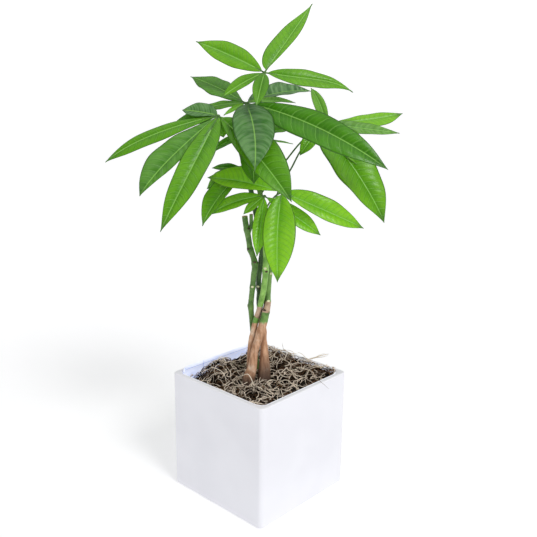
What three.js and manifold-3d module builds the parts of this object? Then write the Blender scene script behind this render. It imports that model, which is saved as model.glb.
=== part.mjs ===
// A potted money tree: four slim stems braided in a white cube pot, with palmate leaves.
// Millimetres, +Z up. The origin is the middle of the pot's underside, and the pot's sides
// lie along X and Y.
import * as THREE from 'three';
import { mergeVertices } from 'three/addons/utils/BufferGeometryUtils.js';
import Module from 'manifold-3d';

const wasm = await Module();
wasm.setup();

// The pot, a glazed ceramic cube.
const POT_SIDE = 125;
const POT_HEIGHT = 125;
const POT_WALL = 4.8;
const POT_FLOOR = 6;
const POT_CORNER = 4.5;
const POT_FOOT = 3;
const POT_RIM = 1.4;
const POT_INNER_CORNER = 9;
const CORNER_STEPS = 4;
const ROUND_STEPS = 3;

// What fills the pot, from the outside in. Neighbours keep a gap of GAP.
const GAP = 0.3;
const LINER_TOP = 124.3;
const LINER_THICKNESS = 0.7;
const LINER_HEM = 3.2;
const SOIL_TOP = 109;
const MOSS_EDGE = 113;
const MOSS_MOUND = 4.5;
const MOSS_BACK = 10.5;
const MOSS_STRANDS = 30;
const STRAND_LENGTH = [9, 16];
const STRAND_ARCH = [1.6, 3.6];
const STRAND_RADII = [0.6, 0.7, 0.7, 0.7, 0.6];
const STRAND_SINK = 0.9;
const STRAND_EDGE = 9;
const STRAND_REACH = 6;
const STEM_FOOT = 72;
const STEM_FOOT_TAPER = 0.85;
const HOLE_CLEARANCE = 0.4;

// The moss's hummocks: two waves, the first in both directions and the second across them.
const HUMMOCK_HEIGHT = [0.9, 0.6];
const HUMMOCK_LENGTH = [6.5, 5.5, 3.7];
const HUMMOCK_START = 1.3;

// The plant is turned in its pot. In its own frame X is to the right, Y to the back and Z up,
// seen from its front, which looks at one upright edge of the pot.
const PLANT_TURN = 43;

const BLADE_THICKNESS = 0.7;
const BLADE_FOLD = 14;
const BLADE_ARCH = 0.07;
const BLADE_TIP = 0.5;
const STALK = 0.035;
const STALK_HALF_WIDTH = 0.8;
const PETIOLE_RADIUS = 0.95;
const PETIOLE_SWELL = 1.35;
const HUB_RADIUS = 2.2;

// How finely the plant's tubes and blades are divided.
const STEM_SIDES = 9;
const STEM_SPANS = 2;
const SHOOT_SIDES = 8;
const PETIOLE_SIDES = 6;
const PETIOLE_SPANS = 3;
const STRAND_SIDES = 4;
const BLADE_SECTION = [-1, -0.5, 0, 0.5, 1];
const BLADE_SPAN = 12;
const BLADE_SPANS = { fewest: 5, most: 8 };
const BLADE_SUBSTEPS = 4;

// Stems: the centre of each section and its radius, from the soil up.
const STEMS = {
  stem_cut: [
    [-2, 14, 114, 3.2], [-5.5, 15, 140, 3], [-7.6, 12.5, 165, 2.8], [-8.7, 9, 179, 2.7],
    [-9.6, 5, 194, 2.8], [-8.8, 2, 205, 2.7], [-7.7, 0, 216, 2.7], [-6.7, -1, 228, 2.8],
    [-5.7, -1, 235, 2.9], [-6.3, 0, 241, 2.9], [-8.2, 1, 247, 2.8], [-10.5, 2, 253, 2.8],
    [-11.6, 2, 260, 2.8], [-13, 2, 268, 2.9], [-14.8, 2, 277, 2.8], [-15.9, 2, 285, 2.8],
  ],
  stem_middle: [
    [-9.6, 3, 108, 4.2], [-9.6, 2.2, 137, 3.7], [-9.3, 1.8, 149, 3.4], [-8.2, 1.8, 159.5, 3.2],
    [-6.7, 1.8, 167, 3.1], [-5.4, 1.6, 174.5, 3], [-3.6, 1.5, 182, 3], [-1.6, 1.2, 188.5, 2.9],
    [-0.1, -0.6, 195.5, 2.9], [1.2, -2.4, 202.5, 2.9], [2.6, -5, 210, 2.9], [3.7, -6, 218, 2.9],
    [4.5, -5.8, 227, 2.9], [4.9, -5, 236, 2.9], [5, -3.8, 246, 2.8], [4.6, -2.8, 256, 2.8],
    [3.8, -2, 267, 2.8], [3, -1, 276, 2.8], [1, 0, 292, 2.6], [1, 0, 297, 2.4],
  ],
  stem_tall: [
    [-12.8, -11, 104, 8.2], [-10.9, -10, 121, 6.2], [-7.4, -8, 133.5, 4.6],
    [-5.6, -6.2, 148, 3.9], [-3.5, -5.4, 156, 3.9], [-1.3, -4.8, 163, 4], [0.6, -4, 170.5, 4.1],
    [3.6, -2.6, 180.5, 4.1], [5.2, -1.4, 188, 3.8], [6.8, 0.2, 196, 3.4], [7.3, 2, 206, 2.9],
    [8.2, 3.5, 220, 2.7], [8.8, 4.5, 238, 2.7], [8, 6, 256, 2.7], [5, 9, 275, 2.6],
    [1, 11, 295, 2.5], [-3, 12, 314, 2.5], [-6, 12, 333, 2.4], [-9, 13, 352, 2.3],
    [-11, 13, 370, 2.2],
  ],
  stem_back: [
    [4, -5, 104, 8.2], [4.2, -4, 116, 7.1], [4.6, -2, 131, 5.6], [4.5, -0.5, 146, 4.2],
    [4, 1, 153, 3.7], [3, 2.5, 160, 3.5], [3.2, 4.5, 167, 3.4], [1.4, 7.8, 174, 3.2],
    [0, 10.2, 182, 3], [-1, 11, 191, 2.9], [-1.6, 11, 199, 2.7], [-1.2, 10.5, 206, 2.7],
    [-1.8, 8.5, 214, 2.7], [-2, 6.5, 221, 2.7], [-1.4, 5.3, 228, 2.7], [-0.4, 4.3, 235, 2.7],
    [0.3, 3.6, 242, 2.7], [1.3, 4, 250, 2.7], [1.5, 5.2, 258, 2.7], [0, 7, 266, 2.6],
    [-4, 9.5, 280, 2.6], [-8, 9, 300, 2.5], [-11, 8, 313, 2.4], [-12, 6, 323, 2.3],
  ],
};
// The short cut shoot beside the top of stem_cut.
const SHOOT = [[-12.2, 2, 268, 1.9], [-9.9, 2, 275.5, 1.8], [-9.7, 2, 287, 1.7]];

// Fronds: each is one palmate leaf. stem and height say where its petiole starts, via is the
// petiole's way to the hub, and face is the way its upper side looks, as [heading, pitch] in
// degrees. A leaflet's turn is its direction in the leaf: 0 points down the slope, 90 to the
// right, 180 up the slope and 270 to the left. lift tips it out of the leaf's plane, droop
// bends it back along its length, sway curves it sideways, hook does so near its tip alone,
// and roll turns its upper side. peak is where along its length it is widest, skew moves that
// place on in its right half and back in its left one, and lean makes the right half wider and
// the left one narrower. slim narrows its foot and drawn draws out its tip.
const FRONDS = [
  {
    name: 'leaf_top',
    stem: 'stem_tall',
    height: 367,
    via: [[-9, 7, 374], [-6, -3, 382], [-1.5, -14.5, 392], [1, -18, 406]],
    hub: [2, -20, 419],
    face: [-90, 35],
    leaflets: [
      { turn: 238, length: 76, width: 21.5, peak: 0.46, lean: 0.05, slim: 0.85, drawn: 0.4,
        droop: 15, roll: 10, fold: 6 },
      { turn: 150, length: 94, width: 18.6, peak: 0.4, skew: 0.13, lean: -0.27, slim: 0.95,
        drawn: 0.45, sway: 4, droop: 10, roll: 5, fold: 10 },
      { turn: 79, length: 84, width: 18, peak: 0.42, skew: 0.04, lean: 0.08, slim: 0.95,
        drawn: 0.45, sway: 30, hook: -48, droop: 25, fold: 8 },
      { turn: 296, length: 45, width: 11.3, lean: 0.2, slim: 0.9, droop: 10, sway: 13, fold: 6 },
      { turn: 350, length: 38.5, width: 14.5, peak: 0.44, slim: 0.8, lift: 15, droop: 20 },
    ],
  },
  {
    name: 'leaf_crown',
    stem: 'stem_tall',
    height: 362,
    via: [[-12, 3, 374], [-14, -5, 384]],
    hub: [-15, -12, 392],
    face: [-90, 60],
    leaflets: [
      { turn: 223, length: 82, width: 27, skew: 0.06, slim: 0.9, drawn: 0.45, droop: 12, fold: 4 },
      { turn: 271, length: 46, width: 13, droop: 20, fold: 0 },
      { turn: 129, length: 83, width: 23, lean: -0.2, droop: 25 },
      { turn: 106, length: 49, width: 11, lean: 0.2, lift: 6, droop: 30 },
      { turn: 63, length: 145, width: 31.5, peak: 0.495, skew: -0.04, lean: 0.12, lift: 5,
        droop: 30, roll: -25, fold: 10 },
      { turn: 18, length: 82, width: 37.5, peak: 0.41, drawn: 0.8, sway: -22, droop: 25, fold: 10 },
      { turn: 303, length: 24, width: 4.4, droop: 25, roll: 60 },
    ],
  },
  {
    name: 'leaf_left',
    stem: 'stem_back',
    height: 306,
    via: [[-16, 11, 318], [-21, 11, 343], [-29, 6, 362], [-35, -6, 375]],
    hub: [-39, -22, 381],
    face: [-98, 40],
    leaflets: [
      { turn: 261, length: 35, width: 16, skew: -0.1, lean: 0.15, lift: 10, droop: 20 },
      { turn: 289, length: 114.5, width: 16.3, peak: 0.55, lean: -0.14, lift: 5, droop: 29,
        hook: 13, fold: 0 },
      { turn: 318, length: 102, width: 26.5, peak: 0.52, skew: 0.1, lean: 0.23, droop: 20, sway: -2,
        hook: 14, fold: 8 },
      { turn: 344, length: 120, width: 27.5, peak: 0.44, skew: 0.03, lean: -0.1, slim: 0.62,
        drawn: 0.5, droop: 15, sway: -8, hook: 4, fold: 10 },
      { turn: 18, length: 21, width: 17, lift: -10, droop: 15 },
      { turn: 276, length: 47, width: 16, lift: -6, droop: 15 },
      { turn: 48, length: 108, width: 33, lean: -0.2, sway: -11, droop: 15 },
    ],
  },
  {
    name: 'leaf_right',
    stem: 'stem_tall',
    height: 305,
    via: [[10, 15, 320], [24, 19, 338], [38, 22, 355], [50, 24, 365]],
    hub: [62, 25, 372],
    face: [-78, 50],
    leaflets: [
      { turn: 180, length: 70, width: 12, peak: 0.38, lean: -0.1, droop: 25, roll: 20 },
      { turn: 99, length: 82, width: 19, peak: 0.58, lean: 0.25, lift: -5, droop: -12, fold: 4 },
      { turn: 75, length: 71, width: 16, peak: 0.42, lift: 4, fold: 4 },
      { turn: 285, length: 30, width: 14, droop: 25 },
    ],
  },
  {
    name: 'leaf_right_low',
    stem: 'stem_middle',
    height: 268,
    via: [[11, 4, 293], [18, 8, 313], [28, 10, 330], [36, 10, 346], [46, 9, 362]],
    hub: [55, 8, 370],
    face: [-78, 45],
    leaflets: [
      { turn: 30, length: 110, width: 43, peak: 0.44, skew: -0.06, lean: 0.1, hook: -4, droop: 30 },
      { turn: 46, length: 73, width: 24, droop: 25 },
      { turn: 320, length: 37, width: 14, droop: 25 },
      { turn: 75, length: 50, width: 16, droop: 25 },
    ],
  },
  {
    name: 'leaf_inner',
    stem: 'stem_tall',
    height: 346,
    via: [[-8, 5, 353]],
    hub: [-9, -2, 359],
    face: [-90, 50],
    leaflets: [
      { turn: 86, length: 40, width: 5, sway: 16, droop: 25, roll: 60 },
      { turn: 122, length: 50, width: 26, lean: -0.2, droop: 25, roll: 20 },
      { turn: 258, length: 43, width: 10, sway: 56, droop: 25 },
      { turn: 3, length: 48, width: 24, droop: 25 },
    ],
  },
  {
    name: 'leaf_low_front',
    stem: 'stem_middle',
    height: 295,
    via: [[2, -10, 303]],
    hub: [3, -18, 308],
    face: [-90, 35],
    leaflets: [
      { turn: 276, length: 55, width: 14, sway: 22, lift: 5, droop: 30 },
      { turn: 310, length: 26, width: 9, droop: 25 },
      { turn: 354, length: 59, width: 15, droop: 10 },
      { turn: 57, length: 64, width: 17, peak: 0.56, droop: 20 },
    ],
  },
  {
    name: 'leaf_low_right',
    stem: 'stem_middle',
    height: 284,
    via: [[6, -8, 297], [13, -18, 308]],
    hub: [19, -25, 313],
    face: [-90, 30],
    leaflets: [
      { turn: 351, length: 84, width: 31, peak: 0.44, lean: -0.1, drawn: 0.45, droop: 15, sway: 16,
        hook: -6 },
      { turn: 67, length: 86, width: 22, peak: 0.48, skew: 0.06, lean: -0.12, drawn: 0.45,
        droop: 30, sway: 8 },
      { turn: 252, length: 73, width: 24.5, skew: -0.1, lean: 0.3, lift: 5, droop: 25, sway: 8,
        fold: 10 },
      { turn: 190, length: 36, width: 15, droop: 25 },
    ],
  },
  {
    name: 'leaf_low_left',
    stem: 'stem_back',
    height: 320,
    via: [[-14, 0, 328]],
    hub: [-16, -4, 330],
    face: [-90, 50],
    leaflets: [
      { turn: 319, length: 68, width: 19.5, lean: 0.3, slim: 0.85, hook: 12, droop: 45 },
      { turn: 254, length: 34, width: 10, droop: 25 },
      { turn: 295, length: 40, width: 20, droop: 25 },
    ],
  },
];

const COLOURS = {
  pot: { color: 0xf2f4f8, roughness: 0.28, metalness: 0 },
  liner: { color: 0xd9e2f6, roughness: 0.25, metalness: 0 },
  soil: { color: 0x33261b, roughness: 0.95, metalness: 0 },
  moss: { color: 0x8d7758, roughness: 0.95, metalness: 0 },
  bark: { color: 0xa07a5c, roughness: 0.75, metalness: 0 },
  greenStem: { color: 0x4f7f3c, roughness: 0.55, metalness: 0 },
  leaf: { color: 0x4fa52b, roughness: 0.42, metalness: 0 },
};

const vector = (point) => new THREE.Vector3(point[0], point[1], point[2]);
const clamp = THREE.MathUtils.clamp;
const radians = THREE.MathUtils.degToRad;
const blend = (a, shareA, b, shareB) => a.clone().multiplyScalar(shareA).addScaledVector(b, shareB);

// Joins rings of points, each the same number round, into one closed skin with flat ends.
// The rings run anticlockwise seen from the last ring. The quads from alike onwards are
// split along their other diagonal, so the underside of a thin blade folds as its top does.
function loft(rings, alike = Infinity) {
  const around = rings[0].length;
  const index = [];
  for (let row = 0; row < rings.length - 1; row += 1) {
    for (let k = 0; k < around; k += 1) {
      const next = (k + 1) % around;
      const a = row * around + k;
      const b = row * around + next;
      const c = a + around;
      const d = b + around;
      if (k < alike) {
        index.push(a, b, d, a, d, c);
      } else {
        index.push(a, b, c, b, d, c);
      }
    }
  }
  const last = (rings.length - 1) * around;
  for (let k = 1; k < around - 1; k += 1) {
    index.push(0, k + 1, k);
    index.push(last, last + k, last + k + 1);
  }
  const geometry = new THREE.BufferGeometry().setFromPoints(rings.flat());
  geometry.setIndex(index);
  return geometry;
}

// Turns a closed geometry into a solid that can be joined or cut.
function solid(geometry) {
  const bare = geometry.clone();
  bare.deleteAttribute('normal');
  bare.deleteAttribute('uv');
  const merged = mergeVertices(bare, 1e-5);
  const vertProperties = new Float32Array(merged.attributes.position.array);
  const triVerts = new Uint32Array(merged.index.array);
  return new wasm.Manifold(new wasm.Mesh({ numProp: 3, vertProperties, triVerts }));
}

// Turns a solid back into a geometry.
function toGeometry(manifold) {
  const mesh = manifold.getMesh();
  const geometry = new THREE.BufferGeometry();
  geometry.setAttribute('position', new THREE.BufferAttribute(mesh.vertProperties, 3));
  geometry.setIndex(new THREE.BufferAttribute(mesh.triVerts, 1));
  geometry.computeVertexNormals();
  return geometry;
}

function makeMesh(name, geometry, colour) {
  const mesh = new THREE.Mesh(geometry, new THREE.MeshStandardMaterial(colour));
  mesh.name = name;
  return mesh;
}

// A level square ring with rounded corners, anticlockwise from above.
function squareRing(side, corner, z) {
  const ring = [];
  const middle = side / 2 - corner;
  for (let quarter = 0; quarter < 4; quarter += 1) {
    const start = quarter * 90;
    const cx = quarter === 0 || quarter === 3 ? middle : -middle;
    const cy = quarter < 2 ? middle : -middle;
    for (let step = 0; step <= CORNER_STEPS; step += 1) {
      const angle = radians(start + (90 * step) / CORNER_STEPS);
      const x = cx + corner * Math.cos(angle);
      const y = cy + corner * Math.sin(angle);
      ring.push(new THREE.Vector3(x, y, z));
    }
  }
  return ring;
}

// A tube along a smooth curve through the points, with a radius of its own at each of them.
function taperedTube(points, radii, sides, spans) {
  const curve = new THREE.CatmullRomCurve3(points, false, 'centripetal');
  const rings = [];
  const side = new THREE.Vector3(1, 0, 0);
  for (let row = 0; row <= spans; row += 1) {
    const t = row / spans;
    const centre = curve.getPoint(t);
    const along = curve.getTangent(t);
    side.addScaledVector(along, -side.dot(along)).normalize();
    const up = new THREE.Vector3().crossVectors(along, side);
    const place = t * (radii.length - 1);
    const low = Math.min(Math.floor(place), radii.length - 2);
    const radius = THREE.MathUtils.lerp(radii[low], radii[low + 1], place - low);
    const ring = [];
    for (let k = 0; k < sides; k += 1) {
      const angle = (2 * Math.PI * k) / sides;
      const out = side.clone().multiplyScalar(Math.cos(angle)).addScaledVector(up, Math.sin(angle));
      ring.push(centre.clone().addScaledVector(out, radius));
    }
    rings.push(ring);
  }
  return loft(rings);
}

// The pot's outside from its foot up, then over the rim and down the inside to the floor.
function potGeometry() {
  const inside = POT_SIDE - 2 * POT_WALL;
  const rings = [];
  for (let step = 0; step <= ROUND_STEPS; step += 1) {
    const angle = radians((90 * step) / ROUND_STEPS);
    const inset = POT_FOOT * (1 - Math.sin(angle));
    const z = POT_FOOT * (1 - Math.cos(angle));
    rings.push(squareRing(POT_SIDE - 2 * inset, POT_CORNER, z));
  }
  for (let step = 0; step <= ROUND_STEPS; step += 1) {
    const angle = radians((90 * step) / ROUND_STEPS);
    const inset = POT_RIM * (1 - Math.cos(angle));
    const z = POT_HEIGHT - POT_RIM * (1 - Math.sin(angle));
    rings.push(squareRing(POT_SIDE - 2 * inset, POT_CORNER, z));
  }
  for (let step = 0; step <= ROUND_STEPS; step += 1) {
    const angle = radians((90 * step) / ROUND_STEPS);
    const inset = POT_RIM * (1 - Math.sin(angle));
    const z = POT_HEIGHT - POT_RIM * (1 - Math.cos(angle));
    rings.push(squareRing(inside + 2 * inset, POT_INNER_CORNER, z));
  }
  rings.push(squareRing(inside, POT_INNER_CORNER, POT_FLOOR));
  return loft(rings);
}

// The thin plastic liner: an open tray with a hem folded in along its top.
const LINER_SIDE = POT_SIDE - 2 * POT_WALL - 2 * GAP;
const FILL_SIDE = LINER_SIDE - 4 * LINER_THICKNESS - 2 * GAP;
function linerGeometry() {
  const corner = POT_INNER_CORNER - GAP;
  const bottom = POT_FLOOR + GAP;
  const hem = LINER_SIDE - 4 * LINER_THICKNESS;
  const wall = LINER_SIDE - 2 * LINER_THICKNESS;
  return loft([
    squareRing(LINER_SIDE, corner, bottom),
    squareRing(LINER_SIDE, corner, LINER_TOP),
    squareRing(hem, corner - LINER_THICKNESS, LINER_TOP),
    squareRing(hem, corner - LINER_THICKNESS, LINER_TOP - LINER_HEM),
    squareRing(wall, corner - LINER_THICKNESS, LINER_TOP - LINER_HEM - LINER_THICKNESS),
    squareRing(wall, corner - LINER_THICKNESS, bottom + LINER_THICKNESS),
  ]);
}

// A stem's points from its foot in the soil up, and its radii, made wider by extra.
function stemSections(name, extra) {
  const sections = STEMS[name];
  const foot = sections[0];
  const points = [new THREE.Vector3(foot[0], foot[1], STEM_FOOT - extra)];
  const radii = [foot[3] * STEM_FOOT_TAPER + extra];
  for (const section of sections) {
    points.push(vector(section));
    radii.push(section[3] + extra);
  }
  return { points, radii };
}

function stemGeometry(name, extra = 0) {
  const { points, radii } = stemSections(name, extra);
  return taperedTube(points, radii, STEM_SIDES, STEM_SPANS * points.length);
}

// The place on a stem's centre line at a height.
function onStem(name, height) {
  const sections = STEMS[name];
  const row = sections.findIndex((section) => section[2] > height);
  const low = sections[row - 1];
  const high = sections[row];
  const share = (height - low[2]) / (high[2] - low[2]);
  return vector(low).lerp(vector(high), share);
}

// The width at t of its length of a leaflet's left half, side -1, or right half, side 1: a
// slim stalk, then an oval with a drawn-out tip.
function halfWidth(leaflet, t, side) {
  const { width, peak = 0.5, skew = 0, lean = 0, slim = 0.68, drawn = 0.4 } = leaflet;
  const s = clamp((t - STALK) / (1 - STALK), 0, 1);
  const e = Math.log(0.5) / Math.log(peak + side * skew);
  const oval = Math.pow(Math.sin(Math.PI * Math.pow(s, e)), slim + drawn * Math.pow(s, 4));
  const least = t < 0.5 ? STALK_HALF_WIDTH : BLADE_TIP;
  return Math.max((width / 2) * (1 + side * lean) * oval, least);
}

// A leaflet: a thin blade folded along its midrib, each half arched, that droops to its tip.
function leafletGeometry(frond, leaflet) {
  const { turn, length, lift = 0, droop = 0, sway = 0, hook = 0, roll = 0 } = leaflet;
  const fold = radians(leaflet.fold ?? BLADE_FOLD);
  const heading = radians(frond.face[0]);
  const pitch = radians(frond.face[1]);
  const face = new THREE.Vector3(
    Math.cos(heading) * Math.cos(pitch), Math.sin(heading) * Math.cos(pitch), Math.sin(pitch));
  const down = new THREE.Vector3(
    Math.cos(heading) * Math.sin(pitch), Math.sin(heading) * Math.sin(pitch), -Math.cos(pitch));
  const right = new THREE.Vector3().crossVectors(face, down);
  const spans = clamp(Math.round(length / BLADE_SPAN) + 2, BLADE_SPANS.fewest, BLADE_SPANS.most);
  const steps = spans * BLADE_SUBSTEPS;
  const centre = vector(frond.hub);
  const rings = [];
  for (let step = 0; step <= steps; step += 1) {
    const t = step / steps;
    const angle = radians(turn + sway * t + hook * Math.pow(t, 4));
    const rise = radians(lift - droop * t);
    const level = blend(down, Math.cos(angle), right, Math.sin(angle));
    const along = blend(level, Math.cos(rise), face, Math.sin(rise));
    if (step > 0) {
      centre.addScaledVector(along, length / steps);
    }
    if (step % BLADE_SUBSTEPS !== 0) {
      continue;
    }
    const upper = blend(face, Math.cos(rise), level, -Math.sin(rise));
    const across = new THREE.Vector3().crossVectors(along, upper);
    across.applyAxisAngle(along, radians(-roll));
    upper.applyAxisAngle(along, radians(-roll));
    const thick = (BLADE_THICKNESS / 2) * (1 + Math.max(0, 1 - t / STALK));
    const top = [];
    const under = [];
    for (const s of BLADE_SECTION) {
      const half = halfWidth(leaflet, t, Math.sign(s));
      const out = half * s * Math.cos(fold);
      const arch = BLADE_ARCH * Math.sin(Math.PI * Math.abs(s));
      const raise = half * (Math.abs(s) * Math.sin(fold) + arch);
      const point = centre.clone().addScaledVector(across, out).addScaledVector(upper, raise);
      top.push(point.clone().addScaledVector(upper, thick));
      under.unshift(point.clone().addScaledVector(upper, -thick));
    }
    rings.push([...top, ...under]);
  }
  return loft(rings, BLADE_SECTION.length);
}

// A frond: its petiole, the hub at the petiole's end and the leaflets that spread from it.
function frondGeometry(frond) {
  const start = onStem(frond.stem, frond.height);
  const points = [start, ...frond.via.map(vector), vector(frond.hub)];
  const swell = [PETIOLE_SWELL, ...frond.via.map(() => 1), PETIOLE_SWELL];
  const radii = swell.map((factor) => factor * PETIOLE_RADIUS);
  const spans = PETIOLE_SPANS * points.length;
  let body = solid(taperedTube(points, radii, PETIOLE_SIDES, spans));
  const hub = new THREE.IcosahedronGeometry(HUB_RADIUS, 0);
  hub.translate(...frond.hub);
  body = body.add(solid(hub));
  for (const leaflet of frond.leaflets) {
    body = body.add(solid(leafletGeometry(frond, leaflet)));
  }
  body = body.subtract(solid(stemGeometry(frond.stem, GAP)));
  return toGeometry(body);
}

// The soil is a plain block in the liner, with a hole for each stem.
function soilGeometry() {
  const bottom = POT_FLOOR + 2 * GAP + LINER_THICKNESS;
  const corner = POT_INNER_CORNER - 2 * GAP - 2 * LINER_THICKNESS;
  const block = loft([
    squareRing(FILL_SIDE, corner, bottom),
    squareRing(FILL_SIDE, corner, SOIL_TOP),
  ]);
  return toGeometry(bored(solid(block)));
}

// Cuts the stems' holes. The stems stand turned in the pot, and the holes with them.
function bored(body) {
  let rest = body;
  for (const name of Object.keys(STEMS)) {
    const hole = stemGeometry(name, HOLE_CLEARANCE);
    hole.rotateZ(radians(PLANT_TURN));
    rest = rest.subtract(solid(hole));
  }
  return rest;
}

// The height of the moss over the pot's plan: mounded to the middle and banked against the
// pot's +Y wall, with small hummocks.
function mossHeight(x, y) {
  const reach = clamp(1 - Math.max(Math.abs(x), Math.abs(y)) / (FILL_SIDE / 2), 0, 1);
  const mound = MOSS_MOUND * Math.sqrt(reach);
  const bank = MOSS_BACK * Math.pow(clamp((2 * y) / FILL_SIDE, 0, 1), 1.5);
  const wave = Math.sin(x / HUMMOCK_LENGTH[0] + HUMMOCK_START) * Math.cos(y / HUMMOCK_LENGTH[1]);
  const cross = Math.sin((x + y) / HUMMOCK_LENGTH[2]);
  const hummocks = HUMMOCK_HEIGHT[0] * wave + HUMMOCK_HEIGHT[1] * cross;
  return MOSS_EDGE + mound + bank + hummocks * Math.min(1, 4 * reach);
}

// A repeatable stream of numbers from 0 to 1, by a linear congruence.
function seeded(seed) {
  const modulus = 2 ** 32;
  const factor = 1664525;
  const shift = 1013904223;
  let state = seed;
  return () => {
    state = (state * factor + shift) % modulus;
    return state / modulus;
  };
}

// The moss: a mat that follows mossHeight, with curled strands standing out of it.
function mossGeometry() {
  const corner = POT_INNER_CORNER - 2 * GAP - 2 * LINER_THICKNESS;
  const rings = [squareRing(FILL_SIDE, corner, SOIL_TOP + GAP)];
  for (const share of [1, 0.9, 0.78, 0.64, 0.48, 0.3, 0.1]) {
    const ring = squareRing(FILL_SIDE * share, corner * share, 0);
    ring.forEach((point) => point.setZ(mossHeight(point.x, point.y)));
    rings.push(ring);
  }
  let body = solid(loft(rings));
  const draw = seeded(41);
  const limit = FILL_SIDE / 2 - STRAND_EDGE;
  const reach = limit + STRAND_REACH;
  const last = STRAND_RADII.length - 1;
  for (let k = 0; k < MOSS_STRANDS; k += 1) {
    const x = (2 * draw() - 1) * limit;
    const y = (2 * draw() - 1) * limit;
    const heading = 2 * Math.PI * draw();
    const bend = (draw() - 0.5) * 2.4;
    const length = THREE.MathUtils.lerp(...STRAND_LENGTH, draw());
    const arch = THREE.MathUtils.lerp(...STRAND_ARCH, draw());
    const points = [];
    for (let step = 0; step <= last; step += 1) {
      const t = step / last;
      const angle = heading + bend * (t - 0.5);
      const px = clamp(x + length * (t - 0.5) * Math.cos(angle), -reach, reach);
      const py = clamp(y + length * (t - 0.5) * Math.sin(angle), -reach, reach);
      const rise = arch * Math.sin(Math.PI * t) - STRAND_SINK;
      points.push(new THREE.Vector3(px, py, mossHeight(px, py) + rise));
    }
    body = body.add(solid(taperedTube(points, STRAND_RADII, STRAND_SIDES, STRAND_RADII.length)));
  }
  return toGeometry(bored(body));
}

const moneyTree = new THREE.Group();
moneyTree.add(makeMesh('pot', potGeometry(), COLOURS.pot));
moneyTree.add(makeMesh('liner', linerGeometry(), COLOURS.liner));
moneyTree.add(makeMesh('soil', soilGeometry(), COLOURS.soil));
moneyTree.add(makeMesh('moss', mossGeometry(), COLOURS.moss));

const plant = new THREE.Group();
plant.rotation.z = radians(PLANT_TURN);
for (const name of Object.keys(STEMS)) {
  let geometry = stemGeometry(name);
  if (name === 'stem_cut') {
    const radii = SHOOT.map((section) => section[3]);
    const shoot = taperedTube(SHOOT.map(vector), radii, SHOOT_SIDES, STEM_SPANS * 2);
    geometry = toGeometry(solid(geometry).add(solid(shoot)));
  }
  const thick = name === 'stem_tall' || name === 'stem_back';
  plant.add(makeMesh(name, geometry, thick ? COLOURS.bark : COLOURS.greenStem));
}
for (const frond of FRONDS) {
  plant.add(makeMesh(frond.name, frondGeometry(frond), COLOURS.leaf));
}
moneyTree.add(plant);

export default moneyTree;
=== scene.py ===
"""A potted money tree: braided stems, palmate leaves and dried moss in a white cube pot."""

import math
from typing import NamedTuple

import bpy
import numpy as np
from mathutils import Matrix, Vector


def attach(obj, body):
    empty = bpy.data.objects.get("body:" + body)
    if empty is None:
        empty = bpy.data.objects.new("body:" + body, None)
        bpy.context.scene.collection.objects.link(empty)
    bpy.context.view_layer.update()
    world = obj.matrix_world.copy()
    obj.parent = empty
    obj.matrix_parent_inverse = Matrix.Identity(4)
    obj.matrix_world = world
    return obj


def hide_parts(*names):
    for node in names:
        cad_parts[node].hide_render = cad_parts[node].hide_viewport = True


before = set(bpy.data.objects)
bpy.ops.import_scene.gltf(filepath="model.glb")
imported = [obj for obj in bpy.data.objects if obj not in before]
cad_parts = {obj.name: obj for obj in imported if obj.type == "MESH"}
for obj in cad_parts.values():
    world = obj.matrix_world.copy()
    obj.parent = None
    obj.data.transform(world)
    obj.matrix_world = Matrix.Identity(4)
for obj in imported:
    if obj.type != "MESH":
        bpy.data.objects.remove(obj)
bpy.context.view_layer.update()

MM = 0.001
BODY = "root"
PLANT_TURN = 43

# The pot and its filling, in mm.
POT_SIDE = 125
POT_HEIGHT = 125
POT_WALL = 4.8
POT_FLOOR = 6
POT_CORNER = 4.5
POT_FOOT = 3
POT_RIM = 1.4
POT_INNER_CORNER = 9
GAP = 0.3
LINER_TOP = 124.3
LINER_THICKNESS = 0.7
LINER_HEM = 3.2
LINER_WAVES_FROM = 112
SOIL_TOP = 109
MOSS_EDGE = 113
MOSS_MOUND = 4.5
MOSS_BACK = 10.5
LINER_FOLDS = (-52, -26, 40)
# How far the film stands up at the back left.
FILM_RISE = 4.2
# The two shares that spread the strands evenly, each strand's sharp bends, and the heap of moss
# at the left: its place, height and reach.
LATTICE = (0.7549, 0.5698)
KINKS = 6
MOSS_HEAP = (-43, -15)
HEAP_RISE = 13
HEAP_REACH = 13
LINER_SIDE = POT_SIDE - 2 * POT_WALL - 2 * GAP
FILL_SIDE = LINER_SIDE - 4 * LINER_THICKNESS - 2 * GAP
STEM_FOOT = 72

# The leaves, in mm and degrees.
BLADE_STEP = 1.15
BLADE_THICKNESS = 0.55
BLADE_ARCH = 0.07
BLADE_TIP = 0.55
STALK = 0.035
PETIOLE_RADIUS = 0.8
HUB_RADIUS = 1.6
LEAF_SEED = 100
VEIN_SWEEP = 0.36

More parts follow.
